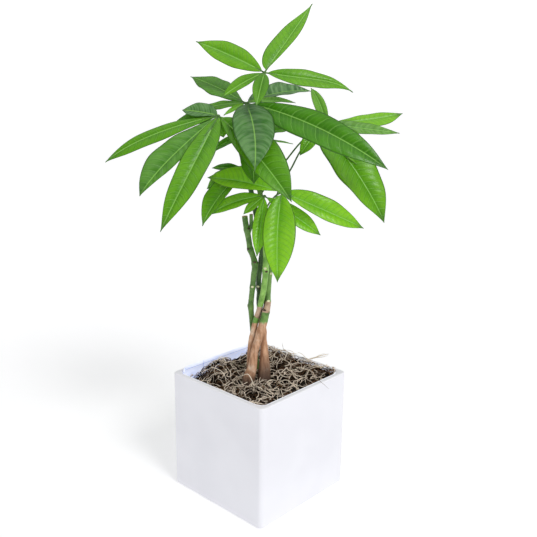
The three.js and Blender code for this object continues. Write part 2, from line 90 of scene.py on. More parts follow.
# Loose strands of moss: thickness, tone, and places in the plant's own frame.
SPRIGS = [
    [1.0, 1, [[-22.5, -12, 121], [-19.6, -14, 125.5], [-15.2, -17.5, 128.6], [-11.6, -18.5, 129.8],
              [-8.7, -19.5, 126.4], [-6.5, -22, 122.2], [-5, -26, 119.8], [-3.2, -31, 118.7]]],
    [1.1, 1, [[-7, -24, 118.5], [-5, -26, 119.8], [0.7, -31, 121.2], [3.7, -33.5, 120.2],
              [6.6, -36, 117.9]]],
    [1.1, 0.9, [[5, -21, 118.8], [6.9, -18, 120.3], [10.4, -15.5, 122.4], [16.2, -13, 121.2]]],
    [0.9, 0.9, [[6.2, -16, 121.2], [9, -21, 121], [11.9, -28, 119.7]]],
    [1.1, 0.7, [[46, 25, 126.5], [51.4, 28, 128.1], [57.9, 30.5, 128.9], [63.2, 32, 130],
                [69.7, 34, 131], [73, 35.6, 131]]],
    [0.8, 0.8, [[50, 27, 127.8], [55.7, 29, 128.6], [63.2, 32, 131.2], [68.6, 34, 132.5]]],
    [0.8, 0.6, [[53, 28, 127.6], [58.9, 30, 128.7], [66.5, 33, 128.6], [71.9, 35, 129.4]]],
    [0.5, 0.1, [[26, 62, 118], [25.8, 64, 121], [24.7, 65, 126.6], [23.5, 65, 131.9]]],
    [0.4, 0.1, [[48, -15, 123], [53.1, -20, 126.4], [58, -24, 126.9], [62.4, -29, 125.2],
                [68, -33, 121.5]]],
    [1.0, 0.9, [[-46, 15, 126], [-43, 18, 131.5], [-40, 19, 133], [-37, 17, 131], [-35, 14, 126]]],
    [0.9, 1, [[-54, 8, 122], [-50, 5, 126.5], [-43, -2, 128], [-36, -9, 126], [-33, -16, 120]]],
]

# Stems: x, y, z and radius of each section in the plant's own frame, whose X is to the right
# and Y to the back, seen from the plant's front.
STEMS = {}
STEMS["stem_cut"] = [
    [-2, 14, 114, 3.2], [-5.5, 15, 140, 3], [-7.6, 12.5, 165, 2.8], [-8.7, 9, 179, 2.7],
    [-9.6, 5, 194, 2.8], [-8.8, 2, 205, 2.7], [-7.7, 0, 216, 2.7], [-6.7, -1, 228, 2.8],
    [-5.7, -1, 235, 2.9], [-6.3, 0, 241, 2.9], [-8.2, 1, 247, 2.8], [-10.5, 2, 253, 2.8],
    [-11.6, 2, 260, 2.8], [-13, 2, 268, 2.9], [-14.8, 2, 277, 2.8], [-15.9, 2, 285, 2.8],
]
STEMS["stem_middle"] = [
    [-9.6, 3, 108, 4.2], [-9.6, 2.2, 137, 3.7], [-9.3, 1.8, 149, 3.4], [-8.2, 1.8, 159.5, 3.2],
    [-6.7, 1.8, 167, 3.1], [-5.4, 1.6, 174.5, 3], [-3.6, 1.5, 182, 3], [-1.6, 1.2, 188.5, 2.9],
    [-0.1, -0.6, 195.5, 2.9], [1.2, -2.4, 202.5, 2.9], [2.6, -5, 210, 2.9], [3.7, -6, 218, 2.9],
    [4.5, -5.8, 227, 2.9], [4.9, -5, 236, 2.9], [5, -3.8, 246, 2.8], [4.6, -2.8, 256, 2.8],
    [3.8, -2, 267, 2.8], [3, -1, 276, 2.8], [1, 0, 292, 2.6], [1, 0, 297, 2.4],
]
STEMS["stem_tall"] = [
    [-12.8, -11, 104, 8.2], [-10.9, -10, 121, 6.2], [-7.4, -8, 133.5, 4.6], [-5.6, -6.2, 148, 3.9],
    [-3.5, -5.4, 156, 3.9], [-1.3, -4.8, 163, 4], [0.6, -4, 170.5, 4.1], [3.6, -2.6, 180.5, 4.1],
    [5.2, -1.4, 188, 3.8], [6.8, 0.2, 196, 3.4], [7.3, 2, 206, 2.9], [8.2, 3.5, 220, 2.7],
    [8.8, 4.5, 238, 2.7], [8, 6, 256, 2.7], [5, 9, 275, 2.6], [1, 11, 295, 2.5], [-3, 12, 314, 2.5],
    [-6, 12, 333, 2.4], [-9, 13, 352, 2.3], [-11, 13, 370, 2.2],
]
STEMS["stem_back"] = [
    [4, -5, 104, 8.2], [4.2, -4, 116, 7.1], [4.6, -2, 131, 5.6], [4.5, -0.5, 146, 4.2],
    [4, 1, 153, 3.7], [3, 2.5, 160, 3.5], [3.2, 4.5, 167, 3.4], [1.4, 7.8, 174, 3.2],
    [0, 10.2, 182, 3], [-1, 11, 191, 2.9], [-1.6, 11, 199, 2.7], [-1.2, 10.5, 206, 2.7],
    [-1.8, 8.5, 214, 2.7], [-2, 6.5, 221, 2.7], [-1.4, 5.3, 228, 2.7], [-0.4, 4.3, 235, 2.7],
    [0.3, 3.6, 242, 2.7], [1.3, 4, 250, 2.7], [1.5, 5.2, 258, 2.7], [0, 7, 266, 2.6],
    [-4, 9.5, 280, 2.6], [-8, 9, 300, 2.5], [-11, 8, 313, 2.4], [-12, 6, 323, 2.3],
]
CREASE_REACH = 1.6
SHOOT = [[-12.2, 2, 268, 1.9], [-9.9, 2, 275.5, 1.8], [-9.7, 2, 287, 1.7]]

# Leaf scars: height, heading round the stem, how far the scar stands out in mm, and its tint,
# 0 for dark brown to 1 for cream.
SCARS = {
    "stem_cut": [
        [273, -50, 0.9, 0], [253.5, -125, 1.1, 0], [240, -85, 1.2, 0.05], [216, -95, 0.8, 1],
        [194, 180, 0.7, 0.6],
    ],
    "stem_middle": [[235.5, -100, 0.9, 1], [232.5, -75, 0.4, 0]],
    "stem_tall": [[191, -115, 0.8, 0], [200.5, -75, 0.7, 1], [228, -60, 0.7, 0.8]],
    "stem_back": [[214.5, -105, 0.9, 1], [212, -85, 0.5, 0]],
}


class Bark(NamedTuple):
    """A stem's slot, the height where its bark turns green going up, its brown rings above that
    as [height, half], how fresh its green is, from 0, a near-black dull green that also paints
    the shade a stem stands in, to 1, and how high the painted shade over its foot reaches."""
    slot: str
    top: float
    rings: list
    fresh: float
    foot_shade: float


BARK = {
    "stem_cut": Bark("green_stem", 120, [], 0.38, 10),
    "stem_middle": Bark("green_stem", 177, [[189, 5.6]], 1, 30),
    "stem_tall": Bark("bark", 179, [[195, 5.2]], 0.42, 20),
    "stem_back": Bark("bark", 186, [], 0.05, 39),
}


class Leaflet(NamedTuple):
    """One leaflet. turn is 0 down the leaf's slope, 90 to the right, 180 up the slope and 270 to
    the left; tone is 0 for the darkest green and 1 for the brightest, and the sheen share is how
    much painted sheen, a greyish painted reflection, lies on the leaflet. peak, skew, lean, slim
    and drawn shape the outline; sway, hook, lift and droop bend the midrib in degrees; roll turns
    the blade about it, and fold raises its halves."""
    turn: float
    length: float
    width: float
    tone: float
    peak: float = 0.5
    skew: float = 0
    lean: float = 0
    slim: float = 0.68
    drawn: float = 0.4
    sway: float = 0
    hook: float = 0
    lift: float = 0
    droop: float = 25
    roll: float = 0
    fold: float = 14
    veins: float = 16
    # Share of painted sheen: a greyish reflection painted into the leaflet's colour in bands.
    painted_sheen: float = 0


class Leaf(NamedTuple):
    """The stem and height where the petiole starts, the hub where it ends, the way the leaf's
    upper side looks as [heading, pitch], the petiole's way to the hub, and the leaflets."""
    stem: str
    height: float
    hub: list
    face: list
    via: list
    leaflets: list


LEAVES = {}
LEAVES["leaf_top"] = Leaf("stem_tall", 367, hub=[2, -20, 419], face=[-90, 35], via=[
    [-9, 7, 374], [-6, -3, 382], [-1.5, -14.5, 392], [1, -18, 406],
], leaflets=[
    Leaflet(238, 76, 21.5, 0.6, peak=0.46, lean=0.05, slim=0.85, droop=15, roll=10, fold=6),
    Leaflet(150, 94, 18.6, 0.5, peak=0.4, skew=0.13, lean=-0.27, slim=0.95, drawn=0.45, sway=4,
            droop=10, roll=5, fold=10),
    Leaflet(79, 84, 18, 0.5, peak=0.42, skew=0.04, lean=0.08, slim=0.95, drawn=0.45, sway=30,
            hook=-48, fold=8),
    Leaflet(296, 45, 11.3, 0.4, lean=0.2, slim=0.9, sway=13, droop=10, fold=6),
    Leaflet(350, 38.5, 14.5, 0.3, peak=0.44, slim=0.8, lift=15, droop=20),
])
LEAVES["leaf_crown"] = Leaf("stem_tall", 362, hub=[-15, -12, 392], face=[-90, 60], via=[
    [-12, 3, 374], [-14, -5, 384],
], leaflets=[
    Leaflet(223, 82, 27, 0.2, skew=0.06, slim=0.9, drawn=0.45, droop=12, fold=4),
    Leaflet(271, 46, 13, 0.3, droop=20, fold=0),
    Leaflet(129, 83, 23, 0.3, lean=-0.2, painted_sheen=0.8),
    Leaflet(106, 49, 11, 0.8, lean=0.2, lift=6, droop=30, painted_sheen=0.3),
    Leaflet(63, 145, 31.5, 0.1, peak=0.495, skew=-0.04, lean=0.12, lift=5, droop=30, roll=-25,
            fold=10, veins=12),
    Leaflet(18, 82, 37.5, 0.05, peak=0.41, drawn=0.8, sway=-22, fold=10, painted_sheen=0.5),
    Leaflet(303, 24, 4.4, 0.6, roll=60),
])
LEAVES["leaf_left"] = Leaf("stem_back", 306, hub=[-39, -22, 381], face=[-98, 40], via=[
    [-16, 11, 318], [-21, 11, 343], [-29, 6, 362], [-35, -6, 375],
], leaflets=[
    Leaflet(261, 35, 16, 0.1, skew=-0.1, lean=0.15, lift=10, droop=20, painted_sheen=0.6),
    Leaflet(289, 114.5, 16.3, 0.3, peak=0.55, lean=-0.14, hook=13, lift=5, droop=29, fold=0),
    Leaflet(318, 102, 26.5, 0.25, peak=0.52, skew=0.1, lean=0.23, sway=-2, hook=14, droop=20,
            fold=8, painted_sheen=0.25),
    Leaflet(344, 120, 27.5, 0.4, peak=0.44, skew=0.03, lean=-0.1, slim=0.62, drawn=0.5, sway=-8,
            hook=4, droop=15, fold=10),
    Leaflet(18, 21, 17, 0.6, lift=-10, droop=15),
    Leaflet(276, 47, 16, 0.15, lift=-6, droop=15),
    Leaflet(48, 108, 33, 0.3, lean=-0.2, sway=-11, droop=15),
])
LEAVES["leaf_right"] = Leaf("stem_tall", 305, hub=[62, 25, 372], face=[-78, 50], via=[
    [10, 15, 320], [24, 19, 338], [38, 22, 355], [50, 24, 365],
], leaflets=[
    Leaflet(180, 70, 12, 0.55, peak=0.38, lean=-0.1, roll=20),
    Leaflet(99, 82, 19, 0.85, peak=0.58, lean=0.25, lift=-5, droop=-12, fold=4),
    Leaflet(75, 71, 16, 0.65, peak=0.42, lift=4, droop=0, fold=4, painted_sheen=0.45),
    Leaflet(285, 30, 14, 0.4),
])
LEAVES["leaf_right_low"] = Leaf("stem_middle", 268, hub=[55, 8, 370], face=[-78, 45], via=[
    [11, 4, 293], [18, 8, 313], [28, 10, 330], [36, 10, 346], [46, 9, 362],
], leaflets=[
    Leaflet(30, 110, 43, 0.5, peak=0.44, skew=-0.06, lean=0.1, hook=-4, droop=30),
    Leaflet(46, 73, 24, 0.6),
    Leaflet(320, 37, 14, 0.6),
    Leaflet(75, 50, 16, 0.4),
])
LEAVES["leaf_inner"] = Leaf("stem_tall", 346, hub=[-9, -2, 359], face=[-90, 50], via=[
    [-8, 5, 353],
], leaflets=[
    Leaflet(86, 40, 5, 0.2, sway=16, roll=60),
    Leaflet(122, 50, 26, 0.3, lean=-0.2, roll=20),
    Leaflet(258, 43, 10, 0.3, sway=56),
    Leaflet(3, 48, 24, 0.2),
])
LEAVES["leaf_low_front"] = Leaf("stem_middle", 295, hub=[3, -18, 308], face=[-90, 35], via=[
    [2, -10, 303],
], leaflets=[
    Leaflet(276, 55, 14, 0.8, sway=22, lift=5, droop=30),
    Leaflet(310, 26, 9, 0.7),
    Leaflet(354, 59, 15, 1.0, droop=10),
    Leaflet(57, 64, 17, 1.0, peak=0.56, droop=20),
])
LEAVES["leaf_low_right"] = Leaf("stem_middle", 284, hub=[19, -25, 313], face=[-90, 30], via=[
    [6, -8, 297], [13, -18, 308],
], leaflets=[
    Leaflet(351, 84, 31, 0.9, peak=0.44, lean=-0.1, drawn=0.45, sway=16, hook=-6, droop=15),
    Leaflet(67, 86, 22, 1.0, peak=0.48, skew=0.06, lean=-0.12, drawn=0.45, sway=8, droop=30),
    Leaflet(252, 73, 24.5, 1.0, skew=-0.1, lean=0.3, sway=8, lift=5, fold=10),
    Leaflet(190, 36, 15, 0.4),
])
LEAVES["leaf_low_left"] = Leaf("stem_back", 320, hub=[-16, -4, 330], face=[-90, 50], via=[
    [-14, 0, 328],
], leaflets=[
    Leaflet(319, 68, 19.5, 0.35, lean=0.3, slim=0.85, hook=12, droop=45),
    Leaflet(254, 34, 10, 0.1),
    Leaflet(295, 40, 20, 0.8, painted_sheen=0.3),
])


# Meshes

def skin(rows, around):
    """Faces of a closed skin over rows of points round it: quads between the rows and a fan of
    triangles over each end. The rings run anticlockwise seen from the last."""
    row = np.arange(rows - 1)[:, None] * around
    k = np.arange(around)[None, :]
    after = (k + 1) % around
    quads = np.stack([row + k, row + after, row + around + after, row + around + k], axis=-1)
    fan = np.arange(1, around - 1)
    zero = np.zeros_like(fan)
    last = (rows - 1) * around
    tris = np.concatenate([
        np.stack([zero, fan + 1, fan], axis=-1),
        np.stack([zero + last, fan + last, fan + 1 + last], axis=-1),
    ])
    return quads.reshape(-1, 4), tris


def put_in_scene(name, data):
    made = bpy.data.objects.new(name, data)
    bpy.context.scene.collection.objects.link(made)
    return made


class Heap:
    """Points, faces and point values of the closed skins that make one piece."""

    def __init__(self):
        self.points, self.quads, self.tris, self.values = [], [], [], {}
        self.count = 0

    def add(self, rings, **values):
        """Adds one skin, or many of equal size at once. Each value is a number, or a pair for a
        map, at every point; a single number, a row or a column of them is spread over the skin."""
        rows, around = rings.shape[-3:-1]
        quads, tris = skin(rows, around)
        total = rings.size // 3
        offset = np.arange(self.count, self.count + total, rows * around)[:, None, None]
        self.quads.append((quads + offset).reshape(-1, 4))
        self.tris.append((tris + offset).reshape(-1, 3))
        self.points.append(rings.reshape(-1, 3))
        for name, value in values.items():
            value = np.asarray(value, float)
            if value.shape != (rows, around, 2):
                value = np.broadcast_to(value, rings.shape[:-1])
            self.values.setdefault(name, []).append(value.reshape(total, -1))
        self.count += total
        return self

    def piece(self, name, material, slot, replaces=()):
        """Makes the object, in metres, with its values as point attributes."""
        points = np.concatenate(self.points) * MM
        quads = np.concatenate(self.quads)
        tris = np.concatenate(self.tris)
        mesh = bpy.data.meshes.new(name)
        mesh.vertices.add(len(points))
        mesh.vertices.foreach_set("co", points.ravel())
        loops = np.concatenate([quads.ravel(), tris.ravel()])
        mesh.loops.add(len(loops))
        mesh.loops.foreach_set("vertex_index", loops)
        sizes = np.concatenate([np.full(len(quads), 4), np.full(len(tris), 3)])
        starts = np.concatenate([[0], np.cumsum(sizes)[:-1]])
        mesh.polygons.add(len(sizes))
        mesh.polygons.foreach_set("loop_start", starts)
        mesh.polygons.foreach_set("use_smooth", np.ones(len(sizes), bool))
        mesh.update(calc_edges=True)
        for key, lists in self.values.items():
            value = np.concatenate(lists)
            if value.shape[1] == 2:
                layer = mesh.uv_layers.new(name=key)
                layer.data.foreach_set("uv", value[loops].ravel())
            else:
                attribute = mesh.attributes.new(key, "FLOAT", "POINT")
                attribute.data.foreach_set("value", value.ravel())
        mesh.materials.append(material)
        piece = put_in_scene(name, mesh)
        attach(piece, BODY)
        if replaces:
            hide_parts(*replaces)


def turned(points):
    """Points turned about the pot's upright axis."""
    angle = math.radians(PLANT_TURN)
    x, y, z = np.moveaxis(np.asarray(points, float), -1, 0)
    across = x * math.cos(angle) - y * math.sin(angle)
    back = x * math.sin(angle) + y * math.cos(angle)
    return np.stack([across, back, z], axis=-1)


def smooth_path(points, count):
    """Points along a centripetal Catmull-Rom curve through the given ones: each stretch blends
    two straight guides by the square root of the distances between its four points. Columns
    after the third, such as radii, follow along."""
    points = np.array(points, float)
    padded = np.vstack([2 * points[0] - points[1], points, 2 * points[-1] - points[-2]])
    step = np.sqrt(np.linalg.norm(np.diff(padded[:, :3], axis=0), axis=1))
    knots = np.concatenate([[0], np.cumsum(step)])
    place = np.linspace(0, len(points) - 1, count)
    low = np.minimum(place.astype(int), len(points) - 2)
    k = [knots[low + n][:, None] for n in range(4)]
    p = [padded[low + n] for n in range(4)]
    t = k[1] + (place - low)[:, None] * (k[2] - k[1])

    def blend(a, b, ka, kb):
        return (kb - t) / (kb - ka) * a + (t - ka) / (kb - ka) * b

    first = blend(p[0], p[1], k[0], k[1])
    second = blend(p[1], p[2], k[1], k[2])
    third = blend(p[2], p[3], k[2], k[3])
    return blend(blend(first, second, k[0], k[2]), blend(second, third, k[1], k[3]), k[1], k[2])


def unit(vectors):
    return vectors / np.linalg.norm(vectors, axis=-1, keepdims=True)


def toward(heading, rise):
    """The direction at a heading round the upright axis and a rise above the level."""
    level = math.cos(rise)
    return np.array([math.cos(heading) * level, math.sin(heading) * level, math.sin(rise)])


def circle(side, up, sides):
    """Directions round the circle in which side and up lie, at each place."""
    angle = np.linspace(0, 2 * np.pi, sides, endpoint=False)[:, None]
    return side[..., None, :] * np.cos(angle) + up[..., None, :] * np.sin(angle)


def tube_rings(path, radius, sides, start_side=(1, 0, 0)):
    """Rings of a tube: at each point of the path a circle across its direction, whose radius
    may change along the path and round it."""
    along = unit(np.gradient(path, axis=0))
    side = unit(start_side - along * (along @ start_side)[:, None])
    radius = np.asarray(radius, float)
    if radius.ndim == 1:
        radius = radius[:, None]
    return path[:, None] + circle(side, np.cross(along, side), sides) * radius[..., None]


def square_ring(side, corner, z, steps=10):
    """A level square with round corners: four quarter circles joined by straight sides."""
    angle = np.radians(np.linspace(0, 90, steps + 1)[None, :] + np.arange(4)[:, None] * 90)
    sign = np.array([[1, 1], [-1, 1], [-1, -1], [1, -1]])
    middle = side / 2 - corner
    x = sign[:, :1] * middle + corner * np.cos(angle)
    y = sign[:, 1:] * middle + corner * np.sin(angle)
    return np.stack([x.ravel(), y.ravel(), np.full(x.size, float(z))], axis=-1)


# Materials

class Graph:
    """Short calls for the nodes of one finish, or of the room's light."""

    def __init__(self, tree):
        tree.nodes.clear()
        self.tree = tree

    def link(self, source, target):
        self.tree.links.new(source, target)

    def node(self, kind, sockets=None, **settings):
        """A new node. Each named socket gets a link, a number or a colour without alpha."""
        made = self.tree.nodes.new(kind)
        for key, value in settings.items():
            setattr(made, key, value)
        for key, value in (sockets or {}).items():
            self.feed(made.inputs[key], value)
        return made

    def feed(self, socket, value):
        if isinstance(value, bpy.types.NodeSocket):
            self.link(value, socket)
        elif socket.type == "RGBA":
            socket.default_value = (*value, 1)
        else:
            socket.default_value = value

    def math(self, operation, *values):
        made = self.node("ShaderNodeMath", dict(enumerate(values)), operation=operation)
        return made.outputs[0]

    def times(self, value, factor, plus=0):
        return self.math("MULTIPLY_ADD", value, factor, plus)

    def distance(self, value, place):
        return self.math("ABSOLUTE", self.math("SUBTRACT", value, place))

    def axes(self, vector):
        return self.node("ShaderNodeSeparateXYZ", {0: vector}).outputs

    def ramp(self, value, low, high):
        """0 at low, 1 at high, smooth between."""
        ends = {"Value": value, "From Min": low, "From Max": high}
        return self.node("ShaderNodeMapRange", ends, interpolation_type="SMOOTHSTEP").outputs[0]

    def mix(self, share, first, second):
        colours = {"Factor": share, "A": first, "B": second}
        return self.node("ShaderNodeMix", colours, data_type="RGBA").outputs["Result"]

    def fade(self, value, low, high, first, second):
        """The first colour where the value is low, the second where it is high."""
        return self.mix(self.ramp(value, low, high), first, second)

    def blend(self, share, first, second):
        """Two shaders in one."""
        parts = {0: share, 1: first.outputs[0], 2: second.outputs[0]}
        return self.node("ShaderNodeMixShader", parts).outputs[0]

    def stretched(self, place, scale):
        return self.node("ShaderNodeMapping", {"Vector": place, "Scale": scale}).outputs[0]

    def object_place(self, scale=(1, 1, 1)):
        return self.stretched(self.node("ShaderNodeTexCoord").outputs["Object"], scale)

    def noise(self, place, scale, detail=3.0, roughness=0.5):
        grain = {"Vector": place, "Scale": scale, "Detail": detail, "Roughness": roughness}
        return self.node("ShaderNodeTexNoise", grain).outputs[0]

    def value(self, name):
        return self.node("ShaderNodeAttribute", attribute_name=name).outputs["Fac"]


class Finish(Graph):
    """A material with one shader."""

    def __init__(self, name):
        self.material = bpy.data.materials.new(name)
        self.material.use_nodes = True
        super().__init__(self.material.node_tree)
        self.output = self.node("ShaderNodeOutputMaterial")
        self.shader = self.node("ShaderNodeBsdfPrincipled")
        self.link(self.shader.outputs[0], self.output.inputs["Surface"])

    def put(self, name, value):
        self.feed(self.shader.inputs[name], value)

    def layers(self, colour, *layers):
        """The colour under layers, each a share, the most of it that shows, and a tint."""
        for share, most, tint in layers:
            colour = self.mix(self.times(share, most), colour, tint)
        return colour

    def paint(self, colour, rough):
        self.put("Base Color", colour)
        self.put("Roughness", rough)

    def bump(self, height, distance, strength):
        relief = {"Strength": strength, "Distance": distance, "Height": height}
        normal = self.node("ShaderNodeBump", relief).outputs[0]
        self.put("Normal", normal)
        return normal

    def let_light_through(self, share, colour, normal):
        """Adds a share of light that comes through from behind."""
        through = self.node("ShaderNodeBsdfTranslucent", {"Color": colour, "Normal": normal})
        self.link(self.blend(share, self.shader, through), self.output.inputs["Surface"])


def glaze_material():
    """White satin glaze: faint clouding, very shallow waves, and whitest on the rim, where the
    glaze lies thick and where painted light also lifts the rim out of the plant's shade.
    """
    glaze = Finish("white_glaze")
    place = glaze.object_place()
    cloud = glaze.noise(place, 18, 2)
    tint = glaze.fade(cloud, 0.3, 0.7, (0.83, 0.83, 0.88), (0.872, 0.872, 0.92))
    height = glaze.axes(place)["Z"]
    # Painted light on the rim: a whiter tint over the top edge, which the plant's shade would dim.
    rim = glaze.ramp(height, (POT_HEIGHT - 1.6) * MM, (POT_HEIGHT - 0.6) * MM)
    tint = glaze.mix(rim, tint, (0.95, 0.94, 0.98))
    glaze.paint(tint, glaze.times(glaze.noise(place, 60), 0.1, 0.27))
    glaze.put("Coat Weight", 0.25)
    glaze.put("Coat Roughness", 0.12)
    glaze.bump(glaze.noise(place, 30, 2), 0.0002, 0.25)
    return glaze.material


def liner_material():
    """Thin bluish plastic film that lets light through, wrinkled along its length and darker
    along the hem's lower edge and its upright folds. It also glows in its own tint, painted
    light that brightens it where the pot and the plant shade it."""
    film = Finish("clear_liner")
    place = film.object_place((1, 1, 4))
    crease = film.noise(place, 45, 4, 0.6)
    tint = film.fade(crease, 0.35, 0.65, (0.78, 0.83, 0.98), (0.9, 0.93, 1.0))
    x, y, z = film.axes(film.object_place())
    lines = [(z, LINER_TOP + FILM_RISE - LINER_HEM)] + [(y, fold) for fold in LINER_FOLDS]
    for axis, middle in lines:
        line = film.ramp(film.distance(axis, middle * MM), 0.7 * MM, 0.2 * MM)
        tint = film.layers(tint, (line, 0.6, (0.3, 0.36, 0.62)))
    inward = film.ramp(x, (3 - LINER_SIDE / 2) * MM, (9 - LINER_SIDE / 2) * MM)
    tint = film.layers(tint, (inward, 0.85, (0.86, 0.86, 0.88)))
    film.paint(tint, 0.22)
    # Painted light: the film glows in its own tint so that it looks brightly lit.
    film.put("Emission Color", tint)
    film.put("Emission Strength", 0.46)
    film.let_light_through(0.4, tint, film.bump(crease, 0.0012, 0.6))
    return film.material


def soil_material():
    soil = Finish("potting_soil")
    place = soil.object_place()
    crumb = soil.noise(place, 260, 6, 0.7)
    tint = soil.fade(crumb, 0.35, 0.7, (0.008, 0.005, 0.003), (0.05, 0.03, 0.018))
    soil.paint(tint, 0.95)
    soil.bump(crumb, 0.0015, 0.9)
    return soil.material


def moss_material(name, dark, light):
    """Dried strands: tone gives each strand its place between dark and light."""
    moss = Finish(name)
    place = moss.object_place()
    grain = moss.times(moss.noise(place, 700, 4, 0.6), 1.0, 0.75)
    share = moss.math("MINIMUM", moss.times(moss.value("tone"), grain), 1)
    moss.paint(moss.mix(share, dark, light), 0.85)
    moss.put("Specular IOR Level", 0.15)
    moss.bump(moss.noise(place, 1500), 0.0002, 0.5)
    return moss.material


def bark_material(name, stem):
    """Tan bark up to its top, with painted shade darkening its foot, green above with pale
    lenticels, and a band of tan cork at each ring. Heights are along the object's Z. scar is 1 on a
    leaf scar, scar_tint its place between dark brown and cream, and crease is 1 where the stem
    touches another, where painted shade darkens it."""
    bark = Finish(name)
    place = bark.object_place()
    wander = bark.times(bark.noise(place, 160), 0.005, -0.0025)
    height = bark.math("ADD", bark.axes(place)["Z"], wander)
    long_grain = bark.noise(bark.object_place((1, 1, 0.14)), 420, 5, 0.6)
    blotch = bark.noise(place, 95, 4, 0.6)
    tan = bark.fade(long_grain, 0.3, 0.7, (0.35, 0.165, 0.08), (0.72, 0.42, 0.255))
    tan = bark.fade(blotch, 0.5, 0.8, tan, (0.82, 0.64, 0.48))
    # Painted shade over the foot, darkest just above the moss.
    low = bark.ramp(height, (MOSS_EDGE + stem.foot_shade) * MM, (MOSS_EDGE + 5) * MM)
    tan = bark.layers(tan, (low, 0.95, (0.05, 0.028, 0.02)))
    # The dull green is near-black, so stems of little freshness carry painted shade.
    dull_shaded_green = bark.fade(blotch, 0.35, 0.7, (0.015, 0.055, 0.012), (0.075, 0.17, 0.04))
    bright = bark.fade(blotch, 0.35, 0.7, (0.12, 0.3, 0.035), (0.34, 0.62, 0.13))
    green = bark.mix(stem.fresh, dull_shaded_green, bright)
    green = bark.fade(long_grain, 0.62, 0.85, green, (0.36, 0.5, 0.24))
    up = bark.ramp(height, (stem.top - 1) * MM, (stem.top + 1) * MM)
    colour = bark.mix(up, tan, green)
    for middle, half in stem.rings:
        away = bark.distance(height, middle * MM)
        ring = bark.ramp(away, (half + 0.5) * MM, (half - 0.5) * MM)
        cork = bark.fade(blotch, 0.35, 0.6, (0.3, 0.18, 0.1), (0.6, 0.42, 0.29))
        colour = bark.mix(ring, colour, cork)
    scar_colour = bark.mix(bark.value("scar_tint"), (0.05, 0.022, 0.01), (0.82, 0.8, 0.5))
    colour = bark.fade(bark.value("scar"), 0.3, 0.55, colour, scar_colour)
    # Painted shade where this stem touches or nears another.
    colour = bark.fade(bark.value("crease"), 0.08, 0.75, colour, (0.02, 0.014, 0.006))
    bark.paint(colour, bark.times(up, -0.25, 0.7))
    bark.bump(long_grain, 0.0006, 0.7)
    return bark.material


def wood_cut_material():
    """The pale cut face at the top of a stem."""
    wood = Finish("cut_wood")
    grain = wood.noise(wood.object_place(), 900)
    wood.paint(wood.mix(grain, (0.42, 0.26, 0.14), (0.7, 0.52, 0.34)), 0.8)
    return wood.material


def petiole_material():
    stalk = Finish("leaf_stalk")
    streak = stalk.ramp(stalk.noise(stalk.object_place((1, 1, 0.3)), 400), 0.35, 0.65)
    stalk.paint(stalk.mix(streak, (0.045, 0.12, 0.02), (0.11, 0.24, 0.045)), 0.45)
    return stalk.material


